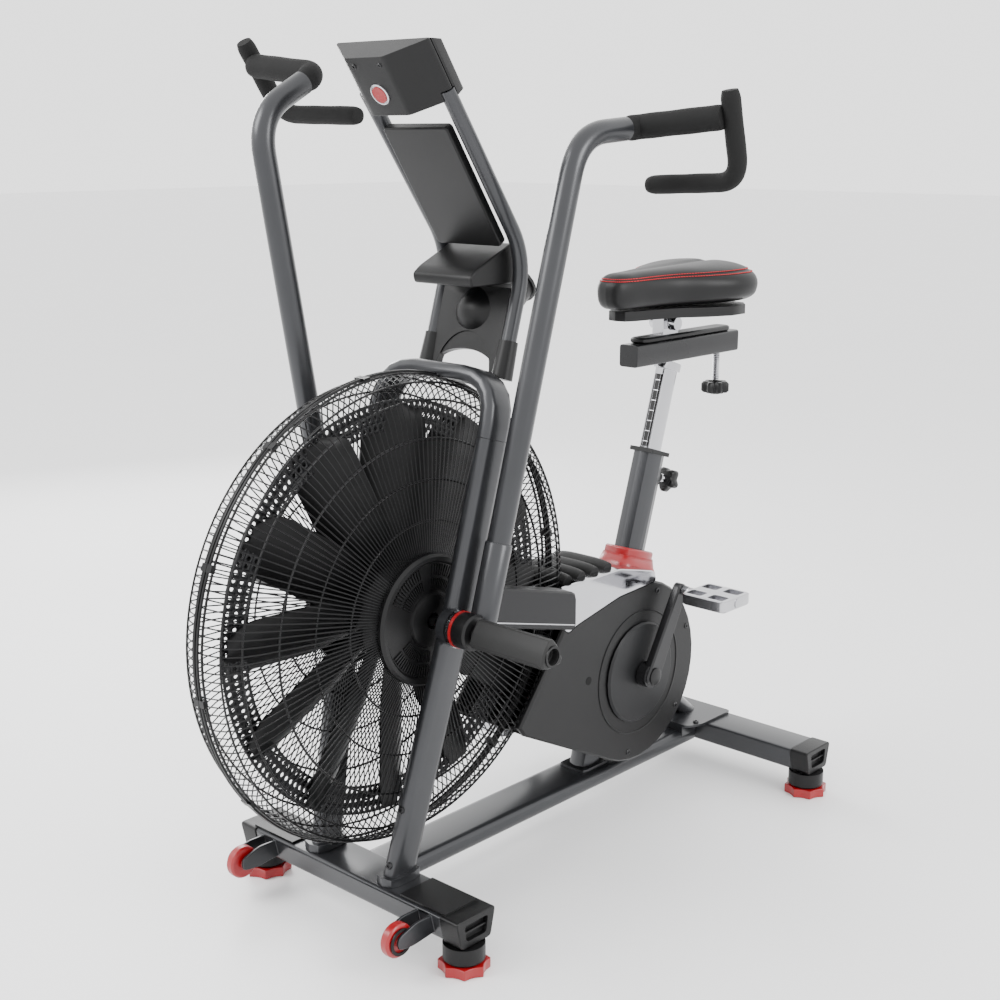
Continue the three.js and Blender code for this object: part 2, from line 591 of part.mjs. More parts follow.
// Arm from the spindle to the pedal axle, thicker at the hub.
function crankArm() {
  const along = vec(0, crankWay.x, crankWay.y);
  const sideways = vec(0, -crankWay.y, crankWay.x);
  const outline = [flat(-17, -20), flat(CRANK_LENGTH + 12, -14), flat(CRANK_LENGTH + 12, 14), flat(-17, 20)];
  const arm = prism(rounded(outline, 12, 4), 18, vec(104, CRANK.y, CRANK.z), along, sideways, 3);
  const boss = cross(CRANK, 96, 116, 24, 20);
  return cut(join(arm, boss), cross(CRANK, 90, 122 + GAP, 9.6, 14), cross(PEDAL, 100, 130, 6.5, 12));
}

// Open cage pedal on its own spindle.
function pedal() {
  const frame = cut(
    slab(shifted(rectangle(96, 88, 10), 196, PEDAL.y), PEDAL.z - 11, PEDAL.z + 11, 2),
    slab(shifted(rectangle(34, 26, 5), 170, PEDAL.y - 25), PEDAL.z - 20, PEDAL.z + 20),
    slab(shifted(rectangle(34, 26, 5), 170, PEDAL.y + 25), PEDAL.z - 20, PEDAL.z + 20),
    slab(shifted(rectangle(34, 26, 5), 218, PEDAL.y - 25), PEDAL.z - 20, PEDAL.z + 20),
    slab(shifted(rectangle(34, 26, 5), 218, PEDAL.y + 25), PEDAL.z - 20, PEDAL.z + 20),
  );
  return join(frame, cross(PEDAL, 106, 150, 6, 12), cross(PEDAL, 123, 134, 10, 6), cross(PEDAL, 134, 246, 9, 10));
}

const crankDisc = turned(CRANK, [[17, SHROUD_X + GAP], [94, SHROUD_X + GAP], [98, SHROUD_X + 3], [94, SHROUD_X + 7],
  [17, SHROUD_X + 9], [17, SHROUD_X + GAP]], 28);
const HALF_TURN = 180;
add('crank_arm_left', crankArm(), BLACK_STEEL);
add('crank_arm_right', spun(mirrored(crankArm()), CRANK, HALF_TURN), BLACK_STEEL);
add('pedal_left', pedal(), ALUMINIUM);
add('pedal_right', spun(mirrored(pedal()), CRANK, HALF_TURN), ALUMINIUM);
addPair('crank_disc', crankDisc, [0x303134, 0.5, 0.1]);

// ---------------------------------------------------------------- seat
function seatPost() {
  return join(seatBlock(postOutline(0), -40, 408), seatBlock(rectangle(34, 56, 12), 396, 412));
}

// Spring pin at the back of the seat tube, with a lobed knob.
function popPin() {
  const pin = rod(onSeat(PIN_UP, 23), onSeat(PIN_UP, 70), 5, 12);
  const barrel = rod(onSeat(PIN_UP, 32), onSeat(PIN_UP, 52), 9, 12);
  const knob = rod(onSeat(PIN_UP, 64), onSeat(PIN_UP, 88), 17, 8);
  return join(pin, barrel, knob);
}

const RAIL = { y0: 418, y1: 752, z0: 846, z1: 888 };
function seatRail() {
  const outline = rounded([flat(-21, 0), flat(21, 0), flat(21, 42), flat(-21, 42)], 5);
  const length = RAIL.y1 - RAIL.y0;
  const bar = prism(outline, length, vec(0, RAIL.y1, RAIL.z0), across, vec(0, 0, 1));
  const postSpace = seatBlock(rectangle(34.8, 56.8, 12), 380, 412 + GAP);
  const knobHole = rod(vec(0, 706, 800), vec(0, 706, 870), 7, 12);
  return cut(bar, postSpace, knobHole);
}

function railKnob() {
  const head = slab(Array.from({ length: 24 }, (_, i) => {
    const turn = (i * 2 * Math.PI) / 24;
    const r = 19 + 3 * Math.cos(6 * turn);
    return flat(r * Math.cos(turn), 706 + r * Math.sin(turn));
  }), 762, 786, 3);
  return join(head, rod(vec(0, 706, 780), vec(0, 706, 868), 6, 12));
}

// Slider on the rail, with the clamp and the base plate that carry the saddle.
function saddleCarriage() {
  const bar = slab(shifted(rectangle(38, 290, 14), 0, 585), RAIL.z1 + GAP, RAIL.z1 + 11, 3);
  const clamp = join(box(-13, 13, 508, 556, RAIL.z1 + 6, 940), rod(vec(-30, 532, 920), vec(30, 532, 920), 13, 14));
  return join(bar, clamp, slab(saddleOutline(0.86), 936, 954));
}

// Saddle outline seen from above: narrow nose at the front, two broad lobes at the back.
function saddleOutline(scale) {
  const half = [[0, 346], [22, 352], [34, 378], [44, 430], [64, 490], [102, 548], [126, 604], [124, 656], [96, 690],
    [48, 700], [0, 688]];
  const right = half.map(([x, y]) => flat(x, y));
  const left = half.slice(1, -1).reverse().map(([x, y]) => flat(-x, y));
  const middle = 560;
  const outline = [...right, ...left].map((p) => flat(p.x * scale, middle + (p.y - middle) * scale));
  return outline;
}

add('seat_post', seatPost(), CHROME);
add('pop_pin', popPin(), BLACK_PLASTIC);
add('seat_rail', seatRail(), BLACK_STEEL);
add('rail_knob', railKnob(), BLACK_PLASTIC);
add('saddle_carriage', saddleCarriage(), CHROME);
add('saddle', join(slab(saddleOutline(0.93), 955, 1034), slab(saddleOutline(1), 968, 1020)), [0x161617, 0.6, 0]);

// ---------------------------------------------------------------- handlebars and pegs
// Drawn in the neutral position; the left one then swings back and the right one forward.
const HANDLE_FOOT = vec(HANDLE_X, -162, 540);
const HANDLE_TOP = vec(194, -125, 1300);
const GRIP_START = vec(199, -19, 1331);
const GRIP_CORNER = vec(201, 10, 1340);
const GRIP_END = vec(360, 17, 1356);
const BAR_TOP = vec(367, 11, 1396);
const BAR_CORNER = vec(372, 67, 1266);
const BAR_END = vec(189, 78, 1260);

function handlebar() {
  const tube = sweep(circle(TUBE_RADIUS, 12), bentPath([HANDLE_FOOT, HANDLE_TOP, GRIP_START], 62, 5));
  const sleeveTop = HANDLE_FOOT.clone().lerp(HANDLE_TOP, 0.155);
  const sleeve = rod(vec(HANDLE_X, -166, 506), sleeveTop, 22);
  const drum = cross(FAN, 148, 192, 27, 24);
  return cut(join(tube, sleeve, drum), cross(FAN, 145, 200, 12.8, 18));
}

// Foam grip with a bent bar across its outer end.
function grip() {
  const start = GRIP_START.clone().lerp(GRIP_CORNER, 0.02);
  const arm = sweep(circle(GRIP_RADIUS, 12), bentPath([start, GRIP_CORNER, GRIP_END], 20, 4));
  const bar = sweep(circle(BAR_RADIUS, 10), bentPath([BAR_TOP, BAR_CORNER, BAR_END], 42, 5));
  return join(arm, bar);
}

const back = (manifold) => spun(manifold, FAN, -HANDLE_SWING);
const forward = (manifold) => spun(mirrored(manifold), FAN, HANDLE_SWING);
add('handlebar_left', back(handlebar()), FRAME_PAINT);
add('handlebar_right', forward(handlebar()), FRAME_PAINT);
add('grip_left', back(grip()), FOAM);
add('grip_right', forward(grip()), FOAM);

// Rounded three-sided peg on a round shaft, hollow at its outer end.
function footPeg() {
  const shaft = cross(FAN, 147.5 + GAP, 205, 12, 18);
  const corners = [90, 210, 330].map((a) => flat(FAN.y + 38 * Math.cos(rad(a)), FAN.z + 38 * Math.sin(rad(a))));
  const body = side(rounded(corners, 26, 3), 196, 346, 3);
  return cut(join(shaft, body), cross(FAN, 334, 350, 13, 16));
}
addPair('foot_peg', footPeg(), RUBBER);

export default bike;
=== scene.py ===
import json
import math

import bmesh
import bpy
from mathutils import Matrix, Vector
from mathutils.bvhtree import BVHTree

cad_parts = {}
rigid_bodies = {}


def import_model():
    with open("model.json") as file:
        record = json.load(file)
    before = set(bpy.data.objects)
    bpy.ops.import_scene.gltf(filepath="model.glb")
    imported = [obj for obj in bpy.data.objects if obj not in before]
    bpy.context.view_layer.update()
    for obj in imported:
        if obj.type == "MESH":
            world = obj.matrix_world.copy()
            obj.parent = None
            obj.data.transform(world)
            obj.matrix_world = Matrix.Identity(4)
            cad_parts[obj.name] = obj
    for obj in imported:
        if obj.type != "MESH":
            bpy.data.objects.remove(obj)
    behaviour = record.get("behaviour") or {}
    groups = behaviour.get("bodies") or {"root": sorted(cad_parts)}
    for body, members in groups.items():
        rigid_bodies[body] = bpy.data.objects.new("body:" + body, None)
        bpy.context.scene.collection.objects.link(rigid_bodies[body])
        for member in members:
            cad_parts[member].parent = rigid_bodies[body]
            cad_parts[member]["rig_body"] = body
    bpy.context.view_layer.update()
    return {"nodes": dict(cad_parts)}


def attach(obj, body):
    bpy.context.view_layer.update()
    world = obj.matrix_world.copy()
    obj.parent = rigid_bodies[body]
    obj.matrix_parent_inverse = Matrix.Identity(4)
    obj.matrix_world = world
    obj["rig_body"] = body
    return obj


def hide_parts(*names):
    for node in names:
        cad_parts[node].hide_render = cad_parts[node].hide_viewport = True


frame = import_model()

# ---------------------------------------------------------------- camera
cam_data = bpy.data.cameras.new("camera")
camera = bpy.data.objects.new("camera", cam_data)
bpy.context.scene.collection.objects.link(camera)
bpy.context.scene.camera = camera
camera.location = (1.72103, -1.89281, 1.26813)
camera.rotation_euler = (math.radians(90 - 13.60), 0, math.radians(42.61))
cam_data.lens = 54.21
cam_data.sensor_width = 36
cam_data.clip_end = 60

# ---------------------------------------------------------------- finishes
def finish_of(name, colour, rough, metal=0.0, grain=400.0, bump=0.15, vary=0.12, coat=0.0, patch=9.0):
    """Procedural finish: large soft patches in colour and roughness, and a fine grain in the bump."""
    m = bpy.data.materials.new(name)
    m.use_nodes = True
    t = m.node_tree
    b = t.nodes["Principled BSDF"]
    where = t.nodes.new("ShaderNodeTexCoord")
    source = where.outputs["Object"]
    broad = t.nodes.new("ShaderNodeTexNoise")
    broad.inputs["Scale"].default_value = patch
    broad.inputs["Detail"].default_value = 5
    fine = t.nodes.new("ShaderNodeTexNoise")
    fine.inputs["Scale"].default_value = grain
    fine.inputs["Detail"].default_value = 3
    t.links.new(source, broad.inputs["Vector"])
    t.links.new(source, fine.inputs["Vector"])
    ramp = t.nodes.new("ShaderNodeValToRGB")
    ramp.color_ramp.elements[0].position = 0.3
    ramp.color_ramp.elements[1].position = 0.75
    ramp.color_ramp.elements[0].color = (*[c * (1 - vary) for c in colour], 1)
    ramp.color_ramp.elements[1].color = (*[min(1, c * (1 + vary)) for c in colour], 1)
    t.links.new(broad.outputs["Fac"], ramp.inputs["Fac"])
    t.links.new(ramp.outputs["Color"], b.inputs["Base Color"])
    spread = t.nodes.new("ShaderNodeMapRange")
    spread.inputs["To Min"].default_value = max(0.03, rough - 0.07)
    spread.inputs["To Max"].default_value = min(1, rough + 0.07)
    t.links.new(broad.outputs["Fac"], spread.inputs["Value"])
    t.links.new(spread.outputs["Result"], b.inputs["Roughness"])
    relief = t.nodes.new("ShaderNodeBump")
    relief.inputs["Strength"].default_value = bump
    relief.inputs["Distance"].default_value = 0.0004
    t.links.new(fine.outputs["Fac"], relief.inputs["Height"])
    t.links.new(relief.outputs["Normal"], b.inputs["Normal"])
    b.inputs["Metallic"].default_value = metal
    b.inputs["Coat Weight"].default_value = coat
    b.inputs["Coat Roughness"].default_value = 0.25
    b.inputs["Specular IOR Level"].default_value = 0.5 if metal > 0.3 or coat else 0.28
    return m


M = {
    "frame_paint": finish_of("frame_paint", (0.026, 0.027, 0.030), 0.32, 0.5, 900, 0.08, 0.1, 0.3),
    "black_plastic": finish_of("black_plastic", (0.0032, 0.0032, 0.0035), 0.40, 0, 1100, 0.3, 0.2),
    "red_plastic": finish_of("red_plastic", (0.26, 0.003, 0.006), 0.32, 0, 700, 0.1, 0.12, 0.2),
    "grey_plastic": finish_of("grey_plastic", (0.009, 0.009, 0.010), 0.42, 0.1, 900, 0.2, 0.12),
    "display": finish_of("display", (0.006, 0.008, 0.01), 0.1, 0, 60, 0.01, 0.2, 0.6),
    "cage_wire": finish_of("cage_wire", (0.005, 0.005, 0.0055), 0.35, 0.2, 900, 0.05, 0.15),
    "fan_paint": finish_of("fan_paint", (0.0035, 0.0035, 0.0038), 0.4, 0.2, 700, 0.15, 0.2),
    "bare_metal": finish_of("bare_metal", (0.5, 0.5, 0.52), 0.25, 1.0, 900, 0.05, 0.08),
    "belt_rubber": finish_of("belt_rubber", (0.012, 0.012, 0.012), 0.75, 0, 600, 0.3, 0.2),
    "chrome": finish_of("chrome", (0.50, 0.50, 0.52), 0.10, 1.0, 500, 0.015, 0.04),
    "black_steel": finish_of("black_steel", (0.012, 0.012, 0.013), 0.28, 0.4, 900, 0.1, 0.15),
    "pedal_metal": finish_of("pedal_metal", (0.48, 0.48, 0.50), 0.22, 1.0, 900, 0.05, 0.06),
    "vinyl": finish_of("vinyl", (0.003, 0.003, 0.0033), 0.42, 0, 700, 0.4, 0.2),
    "foam": finish_of("foam", (0.0035, 0.0035, 0.0035), 0.8, 0, 1500, 0.8, 0.2),
    "peg_rubber": finish_of("peg_rubber", (0.012, 0.012, 0.012), 0.5, 0, 1200, 0.4, 0.2),
}
THREAD = finish_of("thread", (0.5, 0.01, 0.015), 0.6, 0, 2500, 0.5, 0.15)
RIB = finish_of("rib_rubber", (0.010, 0.010, 0.010), 0.55, 0, 900, 0.3, 0.2)
# Near-black matte finish: the panel's dark seam lines, and painted shade on discs that stand in for holes.
SEAM_AND_HOLE_SHADE = finish_of("dark_seam_and_painted_hole_shade", (0.003, 0.003, 0.003), 0.8, 0, 500, 0.1, 0.2)
DISC = finish_of("disc_paint", (0.011, 0.0112, 0.012), 0.38, 0.2, 1200, 0.2, 0.12)

# ---------------------------------------------------------------- geometry helpers
# Coordinates are drawn in millimetres with y counted from 85 mm ahead of the frame's origin.
def at(x, y, z):
    return Vector((x, y - 85, z)) / 1000


FAN = (-198, 517)
CRANK = (362, 278)
SWING = math.radians(11.55)


def swung(p, side):
    """A point of the neutral left handlebar, moved to the left one's or the right one's place at rest."""
    x, y, z = p
    a = -SWING if side > 0 else SWING
    dy, dz = y - FAN[0], z - FAN[1]
    turned_y = dy * math.cos(a) - dz * math.sin(a)
    turned_z = dy * math.sin(a) + dz * math.cos(a)
    return (side * x, FAN[0] + turned_y, FAN[1] + turned_z)


def around(centre, x, radius, degrees):
    """A point at a radius about an axis that runs across the bike through centre, given as (y, z)."""
    t = math.radians(degrees)
    return at(x, centre[0] + radius * math.cos(t), centre[1] + radius * math.sin(t))


def piece(name, verts, faces, body, slot, material=None, smooth=35, stands_for=()):
    me = bpy.data.meshes.new(name)
    me.from_pydata([tuple(v) for v in verts], [], faces)
    bm = bmesh.new()
    bm.from_mesh(me)
    bmesh.ops.recalc_face_normals(bm, faces=bm.faces)
    bm.to_mesh(me)
    bm.free()
    ob = bpy.data.objects.new(name, me)
    bpy.context.scene.collection.objects.link(ob)
    me.polygons.foreach_set("use_smooth", [True] * len(me.polygons))
    me.set_sharp_from_angle(angle=math.radians(smooth))
    me.materials.append(material or M[slot])
    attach(ob, body)
    if stands_for:
        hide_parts(*stands_for)
    return ob


class Shape:
    """Collects tubes, boxes and turned parts into one mesh."""

    def __init__(self):
        self.v, self.f = [], []

    def add(self, verts, faces):
        n = len(self.v)
        self.v += verts
        self.f += [tuple(i + n for i in f) for f in faces]
        return self

    def tube(self, path, radius, sides=8, closed=False, caps=True, squash=1.0):
        n = len(path)
        verts, faces = [], []
        last = None
        for i, p in enumerate(path):
            a = path[(i - 1) % n] if closed or i > 0 else p
            b = path[(i + 1) % n] if closed or i < n - 1 else p
            d = (b - a).normalized()
            if last is None:
                u = d.orthogonal().normalized()
            else:
                u = (last - d * last.dot(d)).normalized()
            last = u
            w = d.cross(u)
            r = radius[i] if isinstance(radius, (list, tuple)) else radius
            for k in range(sides):
                t = 2 * math.pi * k / sides
                verts.append(p + u * (r * math.cos(t)) + w * (r * squash * math.sin(t)))
        for i in range(n if closed else n - 1):
            j = (i + 1) % n
            for k in range(sides):
                m = (k + 1) % sides
                faces.append((i * sides + k, i * sides + m, j * sides + m, j * sides + k))
        if caps and not closed:
            faces.append(tuple(range(sides - 1, -1, -1)))
            faces.append(tuple((n - 1) * sides + k for k in range(sides)))
        return self.add(verts, faces)

    def turned(self, centre, axis, profile, sides=64, closed=True):
        """profile of (radius, distance along the axis) in metres, turned about an axis through centre."""
        axis = axis.normalized()
        u = axis.orthogonal().normalized()
        w = axis.cross(u)
        verts, faces = [], []
        n = len(profile)
        for r, h in profile:
            for k in range(sides):
                t = 2 * math.pi * k / sides
                verts.append(centre + axis * h + (u * math.cos(t) + w * math.sin(t)) * max(r, 1e-5))
        for i in range(n if closed else n - 1):
            j = (i + 1) % n
            for k in range(sides):
                m = (k + 1) % sides
                faces.append((i * sides + k, i * sides + m, j * sides + m, j * sides + k))
        return self.add(verts, faces)

    def box(self, centre, ax, ay, az):
        """Box with half extents given as vectors."""
        verts = [centre + ax * i + ay * j + az * k for i in (-1, 1) for j in (-1, 1) for k in (-1, 1)]
        faces = [(0, 1, 3, 2), (4, 6, 7, 5), (0, 4, 5, 1), (2, 3, 7, 6), (0, 2, 6, 4), (1, 5, 7, 3)]
        return self.add(verts, faces)

    def bolt(self, centre, axis, radius, height=0.004, sides=24):
        """Button head with a six-sided socket."""
        axis = axis.normalized()
        r, h = radius, height
        self.turned(centre, axis, [(0, -0.002), (r, -0.002), (r, h * 0.4), (r * 0.8, h * 0.9), (r * 0.5, h),
                                   (r * 0.45, h), (r * 0.45, h * 0.35), (0, h * 0.35)], sides, closed=False)
        return self


def landing(node, start, towards):
    """Where a straight line from start first meets a CAD node, and the way that its surface faces there."""
    cad = frame["nodes"][node].data
    tree = BVHTree.FromPolygons([v.co for v in cad.vertices], [p.vertices for p in cad.polygons])
    place, normal, _, _ = tree.ray_cast(start, towards)
    return (None, None) if place is None else (place, normal if normal.dot(towards) < 0 else -normal)


def bolts_on(name, spots, body="frame", slot="black_steel", radius=0.0075, height=0.004):
    """Button-head bolts seated on CAD nodes, from (node, start, direction)."""
    heads = Shape()
    for node, start, towards in spots:
        place, normal = landing(node, start, towards)
        if place is not None:
            heads.bolt(place, normal, radius, height)
    if heads.v:
        piece(name, heads.v, heads.f, body, slot)


def bent(points, reach, steps=12):
    out = [Vector(points[0])]
    for i in range(1, len(points) - 1):
        c, a, b = Vector(points[i]), Vector(points[i - 1]), Vector(points[i + 1])
        p, q = c.lerp(a, reach / (c - a).length), c.lerp(b, reach / (c - b).length)
        for k in range(steps + 1):
            t = k / steps
            out.append(p * (1 - t) ** 2 + c * 2 * t * (1 - t) + q * t * t)
    out.append(Vector(points[-1]))
    return out


X = Vector((1, 0, 0))
Y = Vector((0, 1, 0))
Z = Vector((0, 0, 1))

# ---------------------------------------------------------------- softened stand-ins for hard CAD parts
# The finish of each CAD node, by the start of its name; the first that fits is used.
PREFIX = [
    ("front_stabilizer", "frame_paint"), ("rear_stabilizer", "frame_paint"),
    ("front_cap", "black_plastic"), ("rear_cap", "black_plastic"), ("main_beam", "frame_paint"),
    ("front_foot", "red_plastic"), ("rear_foot", "red_plastic"), ("transport_wheel", "red_plastic"),
    ("fork", "frame_paint"), ("mast", "frame_paint"), ("bottle", "black_plastic"),
    ("media", "black_plastic"), ("back_panel", "black_plastic"), ("console_lens", "display"),
    ("console_button_start", "grey_plastic"), ("console_button_stop", "red_plastic"),
    ("console", "black_plastic"), ("fan_cage", "cage_wire"), ("fan_wheel", "fan_paint"),
    ("crank_spindle", "bare_metal"), ("jackshaft", "bare_metal"), ("primary_belt", "belt_rubber"),
    ("secondary_belt", "belt_rubber"), ("seat_tube", "frame_paint"), ("shroud", "black_plastic"),
    ("top_cover", "chrome"), ("seat_collar", "red_plastic"), ("link_cover", "grey_plastic"),
    ("link_rod", "black_steel"), ("crank_arm", "black_steel"), ("pedal", "pedal_metal"),
    ("crank_disc", "grey_plastic"), ("seat_post", "chrome"), ("pop_pin", "black_plastic"),
    ("seat_rail", "black_steel"), ("rail_knob", "black_plastic"), ("saddle_carriage", "chrome"),
    ("saddle", "vinyl"), ("handlebar", "frame_paint"), ("grip", "foam"), ("foot_peg", "peg_rubber"),
]


def slot_of(node):
    return next(s for p, s in PREFIX if node.startswith(p))


SHAPED = {"fan_cage_left", "fan_cage_right", "fan_wheel", "saddle", "grip_left", "grip_right",
          "handlebar_left", "handlebar_right", "mast_tube_left", "mast_tube_right"}
PLAIN = ("primary_belt", "secondary_belt", "link_rod", "crank_spindle", "jackshaft")
EDGE = {"crank_disc": 0.0005, "console": 0.003, "back_panel": 0.003, "shroud": 0.0035, "link_cover": 0.002,
        "front_stabilizer": 0.002, "main_beam": 0.003, "top_cover": 0.003, "media": 0.003, "seat_rail": 0.002}
for node, cad in frame["nodes"].items():
    slot = slot_of(node)
    cad.data.materials.clear()
    cad.data.materials.append(M[slot])
    if node in SHAPED or node.startswith(PLAIN):
        continue
    bm = bmesh.new()
    bm.from_mesh(cad.data)
    bmesh.ops.remove_doubles(bm, verts=bm.verts, dist=0.00003)
    bmesh.ops.dissolve_limit(bm, angle_limit=math.radians(1.0), verts=bm.verts, edges=bm.edges)
    me = bpy.data.meshes.new("soft_" + node)
    bm.to_mesh(me)
    bm.free()
    ob = bpy.data.objects.new("soft_" + node, me)
    bpy.context.scene.collection.objects.link(ob)
    me.polygons.foreach_set("use_smooth", [True] * len(me.polygons))
    me.set_sharp_from_angle(angle=math.radians(38))
    me.materials.append(DISC if node.startswith("crank_disc") else M[slot])
    if node == "saddle_carriage":
        me.materials.append(M["black_plastic"])
        for poly in me.polygons:
            poly.material_index = int(poly.center.z > 0.9335 or poly.center.z < 0.9)
    edge = ob.modifiers.new("edge", "BEVEL")
    edge.width = next((w for p, w in EDGE.items() if node.startswith(p)), 0.0012)
    edge.segments = 2
    edge.limit_method = "ANGLE"
    edge.angle_limit = math.radians(38)
    edge.use_clamp_overlap = True
    edge.harden_normals = True
    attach(ob, cad["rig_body"])
    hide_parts(node)

# ---------------------------------------------------------------- fan cage: wires, rings and hub covers
# Each ring's radius, distance from the middle and wire radius.
CAGE_RINGS = [(386, 10, 2.2), (389, 3, 2.6), (376, 40, 1.8), (350, 57, 1.8), (290, 67, 2.0), (225, 72, 1.6),
              (160, 77, 1.8)]
for side, name in ((1, "left"), (-1, "right")):
    wires = Shape()
    face = [(104, 82), (180, 78), (260, 72), (322, 66), (350, 59), (368, 48), (379, 33), (385, 16), (386, 2)]
    for i in range(180):
        wires.tube([around(FAN, side * x, r, i * 2 + 0.5) for r, x in face], 0.0012, 5)
    for r, x, thick in CAGE_RINGS:
        ring = [around(FAN, side * x, r, k * 3) for k in range(120)]
        wires.tube(ring, thick / 1000, 6, closed=True)
    piece("cage_wires_" + name, wires.v, wires.f, "frame", "cage_wire", smooth=60,
          stands_for=["fan_cage_" + name])

    hub = Shape()
    centre = at(0, *FAN)
    profile = [(0.013, 0.078), (0.108, 0.078), (0.108, 0.088), (0.104, 0.093), (0.098, 0.093),
               (0.094, 0.0885), (0.045, 0.0885), (0.043, 0.094), (0.03, 0.096), (0.013, 0.096)]
    hub.turned(centre, X * side, profile, 96)
    for k in range(96):
        t = k * 3.75
        if (t % 90) < 12 or 150 < t < 210:
            continue
        d = Vector((0, math.cos(math.radians(t)), math.sin(math.radians(t))))
        hub.box(centre + X * side * 0.0895 + d * 0.083, X * 0.0016, d * 0.009, d.cross(X) * 0.0014)
        hub.box(centre + X * side * 0.0895 + d * 0.060, X * 0.0016, d * 0.009, d.cross(X) * 0.0010)
    piece("cage_hub_" + name, hub.v, hub.f, "frame", "black_plastic")
    clips = Shape()
    for k in range(12):
        d = Vector((0, math.cos(math.radians(k * 30 + 8)), math.sin(math.radians(k * 30 + 8))))
        clips.box(centre + X * side * 0.006 + d * 0.3875, X * 0.0055, d * 0.004, d.cross(X) * 0.006)
    piece("cage_clips_" + name, clips.v, clips.f, "frame", "cage_wire")

# ---------------------------------------------------------------- fan: curved paddles and a perforated ring
fan = Shape()
centre = at(0, *FAN)
for i in range(12):
    a = math.radians(i * 30 - 2)
    out = Vector((0, -math.sin(a), math.cos(a)))
    tangent = Vector((0, -math.cos(a), -math.sin(a)))
    pitch = math.radians(62)
    width = X * math.cos(pitch) - tangent * math.sin(pitch)
    across = X * math.sin(pitch) + tangent * math.cos(pitch)
    rows, cols = 20, 10
    for layer in (-1, 1):
        verts = []
        for j in range(rows + 1):
            r = 0.062 + (0.340 - 0.062) * j / rows
            inner = min(1, 0.55 + (r - 0.062) / 0.09 * 0.45)
            tip = max(0, (r - 0.288) / 0.052)
            half = 0.054 * inner * math.sqrt(max(0.05, 1 - tip ** 3 * 0.92))
            for k in range(cols + 1):
                s = k / cols * 2 - 1
                bow = 0.010 * (1 - s * s) * inner + layer * 0.0011
                verts.append(centre + out * r + width * (s * half) + across * bow)
        faces = []
        for j in range(rows):
            for k in range(cols):
                q = j * (cols + 1) + k
                faces.append((q, q + 1, q + cols + 2, q + cols + 1))
        fan.add(verts, faces)
hubshape = [(0.0, -0.058), (0.04, -0.058), (0.082, -0.02), (0.082, 0.02), (0.04, 0.058), (0.0, 0.058)]
fan.turned(centre, X, hubshape, 48, closed=False)
fan.turned(centre, X, [(0, -0.107), (0.009, -0.107), (0.009, 0.107), (0, 0.107)], 20, closed=False)
fan.turned(centre, X, [(0, -0.101), (0.022, -0.101), (0.022, -0.093), (0, -0.093)], 32, closed=False)
piece("fan_paddles", fan.v, fan.f, "fan_body", "fan_paint", smooth=50, stands_for=["fan_wheel"])

def polar(radius, turn):
    return centre + Vector((0, radius * math.cos(turn), radius * math.sin(turn)))


ring = Shape()
count = 168
for row in range(3):
    r0, r1 = 0.297 + row * 0.016, 0.313 + row * 0.016
    rm = (r0 + r1) / 2
    for i in range(count):
        t0, t1 = 2 * math.pi * i / count, 2 * math.pi * (i + 1) / count
        tm = (t0 + t1) / 2
        outer = [polar(r0, t0), polar(r0, tm), polar(r0, t1), polar(rm, t1), polar(r1, t1), polar(r1, tm),
                 polar(r1, t0), polar(rm, t0)]
        mid = polar(rm, tm)
        inner = [mid + (p - mid).normalized() * 0.0040 for p in outer]
        ring.add(outer + inner, [(k, (k + 1) % 8, 8 + (k + 1) % 8, 8 + k) for k in range(8)])
band = piece("fan_ring", ring.v, ring.f, "fan_body", "fan_paint", material=M["grey_plastic"])
thick = band.modifiers.new("thickness", "SOLIDIFY")
thick.thickness = 0.0022
thick.offset = 0

# ---------------------------------------------------------------- handlebars, foam grips and mast tubes
def foam_sleeve(path, radius, end_girths, ripple):
    """A foam tube along a path, with rounded ends and faint rings along it."""
    dense = []
    for a, b in zip(path, path[1:]):
        steps = max(1, int((b - a).length / 0.006))
        dense += [a.lerp(b, k / steps) for k in range(steps)]
    dense.append(path[-1])
    last = len(dense) - 1
    girth = []
    for k in range(last + 1):
        rippled = 1.0 + 0.012 * math.sin(k * ripple)
        girth.append(radius * end_girths.get(min(k, last - k), rippled))
    return Shape().tube(dense, girth, 28)


